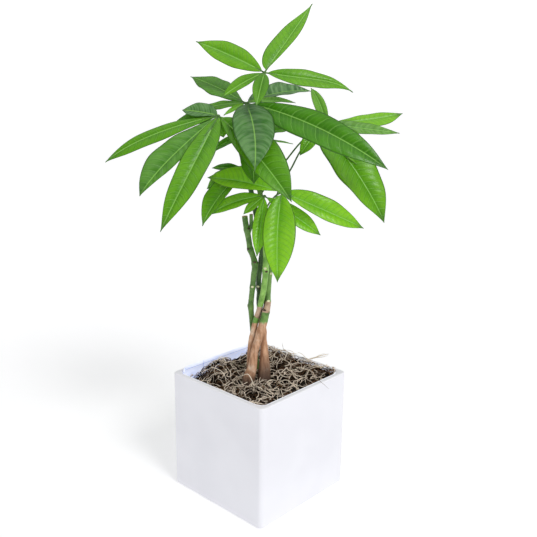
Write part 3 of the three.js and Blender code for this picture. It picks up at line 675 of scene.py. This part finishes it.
def leaf_material():
    """Glossy leaf: the map vein holds the distance from the midrib in decimetres and the count
    of side veins passed, tone the leaflet's green, its own colour and partly painted light, as
    leaflets in the shade of others were given brighter tones, the sheen share how much greyish
    painted sheen, a painted reflection in bands, lies on it, edge the share of the way out from
    the midrib, reach that to the tip, and under is 1 on the underside. The green is deepest at the
    foot and beside the midrib, and painted shade darkens each panel just past a side vein. The
    midrib is pale, the tip and the rim are dark, a thin pale side vein stands at each whole count
    with two fainter ones between, and fine noise breaks up the rest. Light comes through."""
    leaf = Finish("leaf_blade")
    vein_map = leaf.node("ShaderNodeUVMap", uv_map="vein").outputs[0]
    x, passed, _ = leaf.axes(vein_map)
    across = leaf.distance(x, 0)
    tone = leaf.value("tone")
    edge = leaf.value("edge")
    under = leaf.value("under")
    place = leaf.object_place()

    midrib = leaf.ramp(across, 0.0075, 0.003)
    lane = leaf.times(leaf.noise(place, 90, 2), 0.25, passed)
    since_vein = leaf.math("FRACT", lane)
    middle = leaf.distance(since_vein, 0.5)
    between = leaf.distance(leaf.math("FRACT", leaf.times(lane, 3)), 0.5)
    inner = leaf.ramp(edge, 1.0, 0.7)
    vein = leaf.times(leaf.ramp(middle, 0.43, 0.49), inner)
    fine_vein = leaf.times(leaf.ramp(between, 0.3, 0.5), inner)
    net = leaf.noise(place, 1400, 2)

    # tone is partly painted light: leaflets in the shade of others were given brighter tones.
    deep = leaf.mix(tone, (0.014, 0.115, 0.002), (0.145, 0.52, 0.007))
    fresh = leaf.mix(tone, (0.06, 0.28, 0.004), (0.36, 0.8, 0.03))
    out = leaf.times(leaf.ramp(edge, 0.05, 0.6), 0.45)
    rise = leaf.times(leaf.ramp(passed, 1.5, 9), 0.35, out)
    cloud = leaf.ramp(leaf.noise(place, 48), 0.35, 0.65)
    share = leaf.times(cloud, 0.35, rise)
    colour = leaf.mix(share, deep, fresh)
    # Painted shade: each panel is darker just past its side vein, as light on a ridge would fall.
    shade = leaf.times(leaf.ramp(since_vein, 0.45, 0.05), inner)
    # Painted sheen: greyish bands that stand in for reflected light, by each leaflet's sheen share.
    band = leaf.noise(leaf.stretched(vein_map, (6, 1.3, 1)), 1.0)
    sheen_tint = leaf.fade(band, 0.36, 0.62, (0.06, 0.15, 0.075), (0.3, 0.48, 0.25))
    tip = leaf.ramp(leaf.value("reach"), 0.84, 1.02)
    colour = leaf.layers(
        colour,
        (shade, 0.3, deep),
        (leaf.ramp(net, 0.4, 0.7), 0.15, (0.02, 0.1, 0.004)),
        (fine_vein, 0.14, (0.28, 0.62, 0.08)),
        (vein, leaf.times(tone, 0.25, 0.22), (0.34, 0.74, 0.12)),
        (leaf.value("painted_sheen"), 0.9, sheen_tint),
        (midrib, 0.75, (0.4, 0.8, 0.15)),
        (tip, 0.9, (0.04, 0.13, 0.025)),
        (leaf.ramp(edge, 0.9, 0.99), 0.75, (0.03, 0.09, 0.01)))
    pale = leaf.mix(0.5, colour, (0.24, 0.46, 0.13))
    colour = leaf.mix(under, colour, pale)
    rough = leaf.times(leaf.noise(place, 220), 0.14, 0.17)
    leaf.paint(colour, leaf.times(under, 0.2, rough))
    leaf.put("Specular IOR Level", 0.35)
    relief = leaf.times(vein, -0.6, leaf.times(net, 0.35))
    normal = leaf.bump(relief, 0.0005, 0.6)
    glow = leaf.mix(0.5, colour, (0.3, 0.75, 0.02))
    leaf.let_light_through(0.25, glow, normal)
    return leaf.material


# The pot and what fills it

def quarter(radius, steps=6):
    """Inset and rise of a quarter round, from its outer end to its top."""
    angle = np.radians(np.linspace(0, 90, steps))
    return radius * (1 - np.cos(angle)), radius * np.sin(angle)


def make_pot(material):
    """A profile carried round a square with round corners: the foot's quarter round, the plain
    side, the rim's two quarter rounds and the inside down to the floor."""
    inside = POT_SIDE - 2 * POT_WALL
    edge = POT_HEIGHT - POT_RIM
    foot = list(zip(*quarter(POT_FOOT)))[::-1]
    rim = list(zip(*quarter(POT_RIM)))
    profile = [(POT_SIDE - 2 * inset, POT_CORNER, POT_FOOT - rise) for inset, rise in foot]
    profile += [(POT_SIDE, POT_CORNER, z) for z in np.linspace(POT_FOOT, edge, 8)[1:-1]]
    profile += [(POT_SIDE - 2 * inset, POT_CORNER, edge + rise) for inset, rise in rim]
    profile += [(inside + 2 * inset, POT_INNER_CORNER, edge + rise) for inset, rise in rim[::-1]]
    profile += [(inside, POT_INNER_CORNER, z) for z in np.linspace(edge, POT_FLOOR, 5)[1:]]
    rings = [square_ring(*section) for section in profile]
    Heap().add(np.array(rings)).piece("pot_cube", material, "glaze", ["pot"])


def make_liner(material):
    """A thin tray: its wall rises in shallow waves along the pot's side, is folded inwards in a
    hem and comes back down inside itself. At the back left it stands a little above the rim."""
    corner = POT_INNER_CORNER - GAP
    bottom = POT_FLOOR + GAP
    wall = LINER_SIDE - 2 * LINER_THICKNESS
    hem = LINER_SIDE - 4 * LINER_THICKNESS
    inner = corner - LINER_THICKNESS
    fold = LINER_TOP - LINER_HEM
    outside = (bottom, 60, LINER_WAVES_FROM, LINER_TOP - 1)
    profile = [(LINER_SIDE, corner, z) for z in outside]
    profile += [
        (LINER_SIDE - 0.3, corner, LINER_TOP - 0.2),
        (LINER_SIDE - LINER_THICKNESS, corner, LINER_TOP), (hem + 0.4, inner, LINER_TOP - 0.2),
        (hem, inner, LINER_TOP - 0.8), (hem, inner, fold + 0.4), (hem + 0.4, inner, fold),
    ]
    inside = (fold - 0.4, LINER_WAVES_FROM, 60, bottom + LINER_THICKNESS)
    profile += [(wall, inner, z) for z in inside]
    rings = np.array([square_ring(*section, 12) for section in profile])
    around = np.arctan2(rings[..., 1], rings[..., 0])
    high = np.clip((rings[..., 2] - LINER_WAVES_FROM) / 10, 0, 1)
    ripple = 0.5 * np.sin(9 * around + 0.6) + 0.35 * np.sin(23 * around + 2)
    rings[..., 2] += np.where(rings[..., 2] > LINER_TOP - 2, ripple * 0.6 * high, 0)
    left_wall = np.clip((-rings[..., 0] - LINER_SIDE / 2 + 9) / 6, 0, 1)
    rings[..., 2] += FILM_RISE * left_wall * np.clip((rings[..., 2] - 115) / 4, 0, 1)
    Heap().add(rings).piece("liner_film", material, "liner", ["liner"])


def moss_height(x, y):
    """The moss over the pot's plan: mounded to the middle, higher at the back right, with small
    hummocks."""
    reach = np.clip(1 - np.maximum(np.abs(x), np.abs(y)) / (FILL_SIDE / 2), 0, 1)
    hummocks = 0.9 * np.sin(x / 6.5 + 1.3) * np.cos(y / 5.5) + 0.6 * np.sin((x + y) / 3.7)
    back = MOSS_BACK * np.clip(2 * y / FILL_SIDE, 0, 1) ** 1.5
    return MOSS_EDGE + MOSS_MOUND * np.sqrt(reach) + back + hummocks * np.minimum(1, 4 * reach)


def make_moss_mat(material):
    """The mat under the strands, painted near-black as the shade in the gaps between them: square
    rings drawn in to the middle at the moss's height, lowered by 2 mm and roughened by sums of
    sines."""
    corner = POT_INNER_CORNER - 2 * GAP - 2 * LINER_THICKNESS
    rings = [square_ring(FILL_SIDE, corner, SOIL_TOP + GAP, 14)]
    for share in np.linspace(1, 0.03, 46):
        ring = square_ring(FILL_SIDE * share, corner * share, 0, 14)
        x, y = ring[:, 0], ring[:, 1]
        rough = 0.7 * np.sin(x * 1.7 + y) * np.sin(y * 1.9 - x * 0.6)
        ring[:, 2] = np.maximum(moss_height(x, y) - 2 + rough, SOIL_TOP + GAP + 0.2)
        rings.append(ring)
    Heap().add(np.array(rings), tone=0.2).piece("moss_mat", material, "moss", ["moss"])


def strand_tubes(heap, path, width, tone):
    """Adds three-sided tubes along many paths of equal length at once. Each thins to its ends
    by the square of the distance from its middle, and its tone carries painted light: lighter on
    top than below."""
    t = np.linspace(-1, 1, path.shape[1])[None, :]
    along = unit(np.gradient(path, axis=1) + 1e-6)
    side = unit(np.cross(along, [0.01, 0.02, 1.0]))
    radius = np.asarray(width, float) / 2 * (1 - 0.5 * t ** 2)
    out = circle(side, np.cross(along, side), 3)
    rings = path[:, :, None] + out * radius[:, :, None, None]
    # Painted light: each strand's tone is raised on top and lowered below.
    tone_with_painted_light = np.asarray(tone, float)[..., None] * (0.7 + 0.6 * np.clip(out[..., 2], -1, 1))
    return heap.add(rings, tone=tone_with_painted_light)


def make_moss_strands(name, material, seed, count, steps, thick, lift, length, curl, pale, dark):
    """Curled strands, all worked out together. Strands start evenly over the moss, each near a
    place whose two shares of the side are its number times LATTICE, whole parts dropped.
    A strand's heading turns by a steady bend, a wave and sharp kinks along it, and its height
    waves above the moss, which is higher in clumps, in the bell-shaped heap and along the back
    rim. A strand gets painted shade where it lies low, and is paler at the back; pale is the least
    tone above that, and dark the power that darkens the others."""
    draw = np.random.default_rng(seed)
    t = np.linspace(0, 1, steps)[None, :]
    reach = FILL_SIDE / 2 - 1.2
    spread = np.arange(count)[:, None] * LATTICE % 1
    start = (2 * spread - 1) * reach + draw.normal(0, 2, (count, 2))
    size = draw.uniform(length[0], length[1], (count, 1))
    heading = draw.uniform(0, 2 * np.pi, (count, 1))
    bend = draw.normal(0, 0.6, (count, 1)) * curl
    wave = draw.uniform(0.1, 0.4, (count, 1)) * curl
    phase = draw.uniform(0, 2 * np.pi, (count, 1))
    beat = draw.uniform(1.0, 2.4, (count, 1))
    angle = heading + bend * t + wave * np.sin(2 * np.pi * beat * t + phase)
    for _ in range(KINKS):
        place = draw.uniform(0.05, 0.95, (count, 1))
        kink = draw.normal(0, 0.85, (count, 1)) * curl
        angle = angle + kink * np.clip((t - place) / 0.05, 0, 1)
    step = size / (steps - 1)
    x = start[:, :1] + np.cumsum(np.cos(angle) * step, axis=1) - np.cos(heading) * size / 2
    y = start[:, 1:] + np.cumsum(np.sin(angle) * step, axis=1) - np.sin(heading) * size / 2
    x = np.clip(x, -reach, reach)
    y = np.clip(y, -reach, reach)
    base = draw.uniform(lift[0], lift[1], (count, 1))
    hop = draw.uniform(0.3, 3.4, (count, 1))
    tilt = draw.normal(0, 1.3, (count, 1))
    clump = 2.6 * np.maximum(0, np.sin(x / 8.5 + 2.6) * np.cos(y / 7.5 + 0.4))
    away = ((x - MOSS_HEAP[0]) ** 2 + (y - MOSS_HEAP[1]) ** 2) / HEAP_REACH ** 2
    rim = 1.5 * np.clip(y / reach, 0, 1) ** 6
    ground = moss_height(x, y) + clump + HEAP_RISE * np.exp(-away / 2) + rim
    z = ground + base + hop * np.sin(np.pi * beat * t + phase) + tilt * (t - 0.5)
    z = np.maximum(z, SOIL_TOP + 1)
    width = draw.uniform(thick[0], thick[1], (count, 1))
    # Painted shade: a strand that lies low among the others is darkened.
    low = np.clip((z - ground + 1.3) / 3, 0.08, 1)
    tone = (pale + (1 - pale) * draw.uniform(0, 1, (count, 1)) ** dark) * low
    tone = tone + 0.35 * np.clip(y / reach - 0.45, 0, 1)
    heap = strand_tubes(Heap(), np.stack([x, y, z], axis=-1), width, tone)
    heap.piece(name, material, "moss")


def make_sprigs(material):
    """The loose strands that reach over the stems' feet and the rim."""
    heap = Heap()
    for thick, tone, points in SPRIGS:
        path = smooth_path(points, 24)
        strand_tubes(heap, turned(path)[None], [[thick]], [[tone]])
    heap.piece("moss_sprigs", material, "moss")


# Stems

def scar_bumps(name, path, sides):
    """The leaf scars of a stem over its height and round it: a smooth bump for each, its tint,
    and how far the surface stands out, with a low collar all round under it."""
    angle = np.linspace(0, 360, sides, endpoint=False)[None, :]
    height = path[:, 2:3]
    scar = np.zeros((len(path), sides))
    tint = np.zeros((len(path), sides))
    stand = np.zeros((len(path), sides))
    for scar_height, heading, out, scar_tint in SCARS[name]:
        turn = (angle - heading + 180) % 360 - 180
        bump = np.exp(-((height - scar_height) / 1.1) ** 2 - (turn / 28) ** 2)
        collar = 0.5 * np.exp(-((height - scar_height + 1.5) / 2.6) ** 2)
        tint = np.where(bump > scar, scar_tint, tint)
        scar = np.maximum(scar, bump)
        stand += out * (bump + collar)
    return scar, tint, stand


def crease_shade(name, points):
    """How close each point is to another stem's surface, for the painted shade where stems touch:
    one at a touch, falling with the exponential of the distance over CREASE_REACH."""
    shade = np.zeros(points.shape[:-1])
    for other in STEMS:
        if other == name:
            continue
        axis = smooth_path(STEMS[other], 90)
        away = np.linalg.norm(points[..., None, :] - axis[:, :3], axis=-1) - axis[:, 3]
        shade = np.maximum(shade, np.exp(-np.maximum(away.min(axis=-1), 0) / CREASE_REACH))
    return shade


def make_stem(name, material, cut_material):
    """A tube along the stem's smooth path. Its radius adds low ridges that run along the bark,
    faint rings across it and a bump at each leaf scar."""
    x, y, _, foot_radius = STEMS[name][0]
    sections = [[x, y, STEM_FOOT, foot_radius * 0.85]] + STEMS[name]
    height = sections[-1][2] - STEM_FOOT
    rows = int(height / 1.1)
    sides = 28
    fine = smooth_path(sections, rows)
    path = fine[:, :3]
    radius = fine[:, 3:4]
    angle = np.linspace(0, 2 * np.pi, sides, endpoint=False)[None, :]
    z = path[:, 2:3]
    woody = np.clip((BARK[name].top + 8 - z) / 20, 0.15, 1)
    ridges = np.sin(5 * angle + z / 9) * np.sin(3 * angle - z / 21 + 1) * 0.045
    rings_across = 0.012 * np.sin(z * 1.3 + np.sin(angle * 2))
    scar, tint, stand = scar_bumps(name, path, sides)
    shape = radius * (1 + ridges * woody + rings_across) + stand
    rings = tube_rings(path, shape, sides)
    # The crease value carries painted shade where this stem nears another.
    crease = crease_shade(name, rings)
    heap = Heap().add(turned(rings), scar=scar, scar_tint=tint, crease=crease)
    if name == "stem_cut":
        shoot = smooth_path(SHOOT, 24)
        heap.add(turned(tube_rings(shoot[:, :3], shoot[:, 3], 20)), scar=0, scar_tint=0, crease=0)
    heap.piece(name + "_bark", material, BARK[name].slot, [name])
    if name == "stem_cut":
        for number, top in enumerate([sections[-1], SHOOT[-1]]):
            make_cut_face(f"cut_face_{number + 1}", top, cut_material)


def make_cut_face(name, top, material):
    """A slightly domed disc on a cut stem: the radius times a quarter round, from rim to top."""
    rise = np.array([-0.4, 0.05, 0.25, 0.4, 0.45])
    radius = top[3] * np.array([0.99, 1.0, 0.9, 0.5, 0.05])
    path = top[:3] + np.stack([rise * -0.1, rise * 0, rise], axis=-1)
    Heap().add(turned(tube_rings(path, radius, 20))).piece(name, material, "bark")


def on_stem(name, height):
    """The place on a stem's centre line at a height."""
    sections = np.array(STEMS[name], float)
    return [float(np.interp(height, sections[:, 2], sections[:, axis])) for axis in range(3)]


# Leaves

def blade_half_width(leaflet, t, side):
    """Half the width at t on the left, side -1, or right, side 1: a slim stalk, then an oval
    sin(pi s^e) whose power slim narrows the foot and, with drawn s^4 added, draws out the tip,
    which ends blunt. lean widens the right half and narrows the left one, and skew moves the
    right half's widest place on and the left one's back."""
    peak = leaflet.peak + side * leaflet.skew
    s = np.clip((t - STALK) / (1 - STALK), 0, 1)
    e = math.log(0.5) / math.log(peak)
    oval = np.sin(np.pi * s ** e) ** (leaflet.slim + leaflet.drawn * s ** 4)
    blunt = BLADE_TIP * np.sqrt(np.clip((1 - t) / 0.015, 0.06, 1))
    least = np.where(t < 0.5, 0.6, blunt)
    return np.maximum(leaflet.width / 2 * (1 + side * leaflet.lean) * oval, least)


def leaflet_frames(leaf, leaflet, rows):
    """Points and directions along a leaflet's midrib: the direction starts at turn and lift in
    the leaf's plane, swings by sway, and by hook near the tip, and bends back by droop."""
    heading, pitch = np.radians(leaf.face)
    face = toward(heading, pitch)
    down = toward(heading, pitch - math.pi / 2)
    right = np.cross(face, down)
    t = np.linspace(0, 1, rows)
    angle = np.radians(leaflet.turn + leaflet.sway * t + leaflet.hook * t ** 4)[:, None]
    rise = np.radians(leaflet.lift - leaflet.droop * t)[:, None]
    level = np.cos(angle) * down + np.sin(angle) * right
    along = np.cos(rise) * level + np.sin(rise) * face
    upper = np.cos(rise) * face - np.sin(rise) * level
    moves = (along[1:] + along[:-1]) / 2 * leaflet.length / (rows - 1)
    centre = np.array(leaf.hub, float) + np.vstack([np.zeros(3), np.cumsum(moves, axis=0)])
    across = np.cross(along, upper)
    roll = math.radians(leaflet.roll)
    rolled_across = across * math.cos(roll) + upper * math.sin(roll)
    rolled_upper = upper * math.cos(roll) - across * math.sin(roll)
    return t, centre, rolled_across, rolled_upper


def leaflet_rings(leaf, leaflet, draw):
    """A blade as rings round its section, top from left to right and back underneath. Its halves
    rise in a shallow V, each arched; the margin waves gently; the top dips along the midrib and
    over the side veins and swells between them, and the midrib stands out below."""
    rows = int(leaflet.length / BLADE_STEP) + 8
    t, centre, across, upper = leaflet_frames(leaf, leaflet, rows)
    grid = np.linspace(-1, 1, 25)
    s = (np.sign(grid) * np.abs(grid) ** 1.25)[None, :]
    away = np.abs(s)
    left = blade_half_width(leaflet, t, -1)[:, None]
    half = np.where(s < 0, left, blade_half_width(leaflet, t, 1)[:, None])
    fold = math.radians(leaflet.fold)
    body = np.sin(np.pi * np.clip((t - STALK) / (1 - STALK), 0, 1))[:, None]
    waves = draw.uniform(2.0, 3.4)
    phase = draw.uniform(0, 2 * np.pi, 2)
    swing = np.sin(2 * np.pi * waves * t[:, None] + np.where(s < 0, phase[0], phase[1]))
    margin = 0.055 * half * body * away ** 3 * swing
    out = half * s * math.cos(fold)
    raise_by = half * (away * math.sin(fold) + BLADE_ARCH * np.sin(np.pi * away)) + margin
    distance = half * s
    forward = half * VEIN_SWEEP * (away + away ** 3)
    lane = (t[:, None] - forward / leaflet.length) * leaflet.veins
    swell = np.abs(np.sin(np.pi * lane)) ** 0.7 - 0.6
    quilt = 0.42 * swell * body * np.sin(np.pi * away ** 0.8) * np.minimum(half / 12, 1.2)
    groove = -0.32 * np.exp(-(distance / 0.9) ** 2) * body
    rib = -0.45 * np.exp(-(distance / 0.8) ** 2) * np.minimum(1, 2.2 * (1 - t[:, None]))
    stem_share = np.clip(1 - t / STALK, 0, 1)[:, None]
    thick = BLADE_THICKNESS * (1 - 0.55 * s ** 2) * (1 + 1.6 * stem_share * (1 - s ** 2)) / 2
    thick = np.maximum(thick, 0.1)

    def surface(lift):
        return (centre[:, None] + across[:, None] * out[..., None]
                + upper[:, None] * (raise_by + lift)[..., None])

    top = surface(quilt + groove + thick)
    under = surface(quilt + rib - thick)[:, ::-1]
    rings = np.concatenate([top, under], axis=1)
    vein = np.stack([distance / 100, lane + 1], axis=-1)
    values = {
        "vein": np.concatenate([vein, vein[:, ::-1]], axis=1),
        "edge": np.concatenate([away, away[:, ::-1]], axis=1),
        "under": np.repeat([0, 1], s.size),
        "reach": t[:, None],
        "tone": leaflet.tone,
        "painted_sheen": leaflet.painted_sheen,
    }
    return rings, values


def make_leaf(name, number, blade_material, stalk_material):
    """One palmate leaf: its leaflets in one piece, its petiole, hub and the leaflets' short
    stalks in another."""
    leaf = LEAVES[name]
    draw = np.random.default_rng(LEAF_SEED + number)
    blades = Heap()
    for leaflet in leaf.leaflets:
        rings, values = leaflet_rings(leaf, leaflet, draw)
        blades.add(turned(rings), **values)
    blades.piece(name + "_blades", blade_material, "leaf", [name])

    start = on_stem(leaf.stem, leaf.height)
    rows = 60
    path = smooth_path([start, *leaf.via, leaf.hub], rows)
    t = np.linspace(0, 1, rows)
    swell = 1 + 0.45 * np.exp(-(t / 0.07) ** 2) + 0.5 * np.exp(-((1 - t) / 0.05) ** 2)
    stalk = Heap().add(turned(tube_rings(path, PETIOLE_RADIUS * swell, 12)))
    dome = np.radians(np.linspace(-84, 84, 12))
    hub_path = leaf.hub + np.array([0, 0, 1]) * (HUB_RADIUS * 0.8 * np.sin(dome))[:, None]
    stalk.add(turned(tube_rings(hub_path, HUB_RADIUS * np.cos(dome), 16)))
    for leaflet in leaf.leaflets:
        _, centre, across, _ = leaflet_frames(leaf, leaflet, rows)
        stalk.add(turned(tube_rings(centre[:9], np.linspace(0.85, 0.3, 9), 10, across[0])))
    stalk.piece(name + "_stalk", stalk_material, "leaf", [name])


# The stage

FLOOR_SIDE = 300
KEY_LAMP = (0.74, -0.13, 0.66)
KEY_STRENGTH = 1.05
KEY_WIDTH = 20
ROOM_LIGHT = 0.6
ROOM_WALL = 0.28
ROOM_CEILING = 1.3


def make_floor():
    """A plain pale floor, far larger than the view."""
    paper = Finish("pale_floor")
    paper.paint((0.95, 0.95, 0.95), 0.9)
    paper.put("Emission Color", (1, 1, 1))
    paper.put("Emission Strength", 0.26)
    reach = FLOOR_SIDE / 2
    corners = [(-reach, -reach, 0), (reach, -reach, 0), (reach, reach, 0), (-reach, reach, 0)]
    mesh = bpy.data.meshes.new("floor")
    mesh.from_pydata(corners, [], [(0, 1, 2, 3)])
    mesh.materials.append(paper.material)
    floor = put_in_scene("floor", mesh)


def make_world():
    """A white room: pure white to the camera, soft white as a light, and in reflections grey
    with a bright ceiling, so that gloss shows where a surface turns to it."""
    world = bpy.data.worlds.new("studio")
    bpy.context.scene.world = world
    world.use_nodes = True
    graph = Graph(world.node_tree)
    direction = graph.node("ShaderNodeTexCoord").outputs["Generated"]
    ceiling = graph.ramp(graph.axes(direction)["Z"], 0.55, 0.95)
    mirrored = graph.times(ceiling, ROOM_CEILING - ROOM_WALL, ROOM_WALL - ROOM_LIGHT)
    ray = graph.node("ShaderNodeLightPath").outputs
    strength = graph.times(ray["Is Glossy Ray"], mirrored, ROOM_LIGHT)
    lit = graph.node("ShaderNodeBackground", {"Color": (0.98, 0.985, 1), "Strength": strength})
    seen = graph.node("ShaderNodeBackground", {"Color": (1, 1, 1), "Strength": 1.1})
    light = graph.blend(ray["Is Camera Ray"], lit, seen)
    graph.node("ShaderNodeOutputWorld", {"Surface": light})


def make_lamp():
    """A far, wide, soft lamp, which stands in the direction KEY_LAMP."""
    light = bpy.data.lights.new("key_lamp", "SUN")
    light.energy = KEY_STRENGTH
    light.angle = math.radians(KEY_WIDTH)
    lamp = put_in_scene("key_lamp", light)
    lamp.rotation_mode = "QUATERNION"
    lamp.rotation_quaternion = Vector(KEY_LAMP).to_track_quat("Z", "Y")


# The camera stands 0.78 m from the plant at the pot's +X, -Y edge, 15 degrees above it.
CAMERA_AZIMUTH = 43
CAMERA_RISE = 14.9
CAMERA_ROLL = 0.68
CAMERA_DISTANCE = 0.778
CAMERA_AIM = (0.0103, 0.2257)
LENS_PIXELS = 733
IMAGE_PIXELS = 537
SENSOR = 36


def make_camera():
    """Looks along azimuth and rise at an aim point given to the right and up from the pot."""
    a, e, r = map(math.radians, (CAMERA_AZIMUTH, CAMERA_RISE, CAMERA_ROLL))
    back = toward(a - math.pi / 2, e)
    level = toward(a, 0)
    over = np.cross(back, level)
    right = level * math.cos(r) + over * math.sin(r)
    up = over * math.cos(r) - level * math.sin(r)
    place = right * CAMERA_AIM[0] + up * CAMERA_AIM[1] + back * CAMERA_DISTANCE
    camera_data = bpy.data.cameras.new("camera")
    camera_data.sensor_width = SENSOR
    camera_data.lens = LENS_PIXELS / IMAGE_PIXELS * SENSOR
    camera = put_in_scene("camera", camera_data)
    matrix = np.eye(4)
    matrix[:3] = np.stack([right, up, back, place], axis=1)
    camera.matrix_world = Matrix(matrix.tolist())
    bpy.context.scene.camera = camera


make_camera()
make_floor()
make_world()
make_lamp()

make_pot(glaze_material())
make_liner(liner_material())
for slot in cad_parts["soil"].material_slots:
    slot.material = soil_material()
# The mat's near-black colour is painted shade for the gaps between the strands.
make_moss_mat(moss_material("moss_gap_shade", (0.003, 0.002, 0.001), (0.024, 0.015, 0.008)))
moss_brown = moss_material("moss_brown", (0.004, 0.002, 0.001), (0.28, 0.15, 0.075))
moss_cream = moss_material("moss_cream", (0.045, 0.022, 0.01), (1.0, 0.85, 0.69))
make_moss_strands(
    "moss_strands_low", moss_brown, seed=3, count=1200, steps=20, thick=(0.45, 0.85),
    lift=(-2.4, 0.2), length=(16, 40), curl=1.5, pale=0.05, dark=1.8)
make_moss_strands(
    "moss_strands_high", moss_cream, seed=8, count=330, steps=22, thick=(0.6, 1.15),
    lift=(-0.8, 3.2), length=(18, 50), curl=1.9, pale=0.48, dark=0.75)
make_sprigs(moss_material("moss_sprig", (0.16, 0.11, 0.07), (0.95, 0.84, 0.68)))

cut_wood = wood_cut_material()
for stem_name in STEMS:
    make_stem(stem_name, bark_material(stem_name + "_colour", BARK[stem_name]), cut_wood)

leaf_green = leaf_material()
stalk_green = petiole_material()
for leaf_number, leaf_name in enumerate(LEAVES):
    make_leaf(leaf_name, leaf_number, leaf_green, stalk_green)

bpy.context.scene.view_settings.view_transform = "Standard"
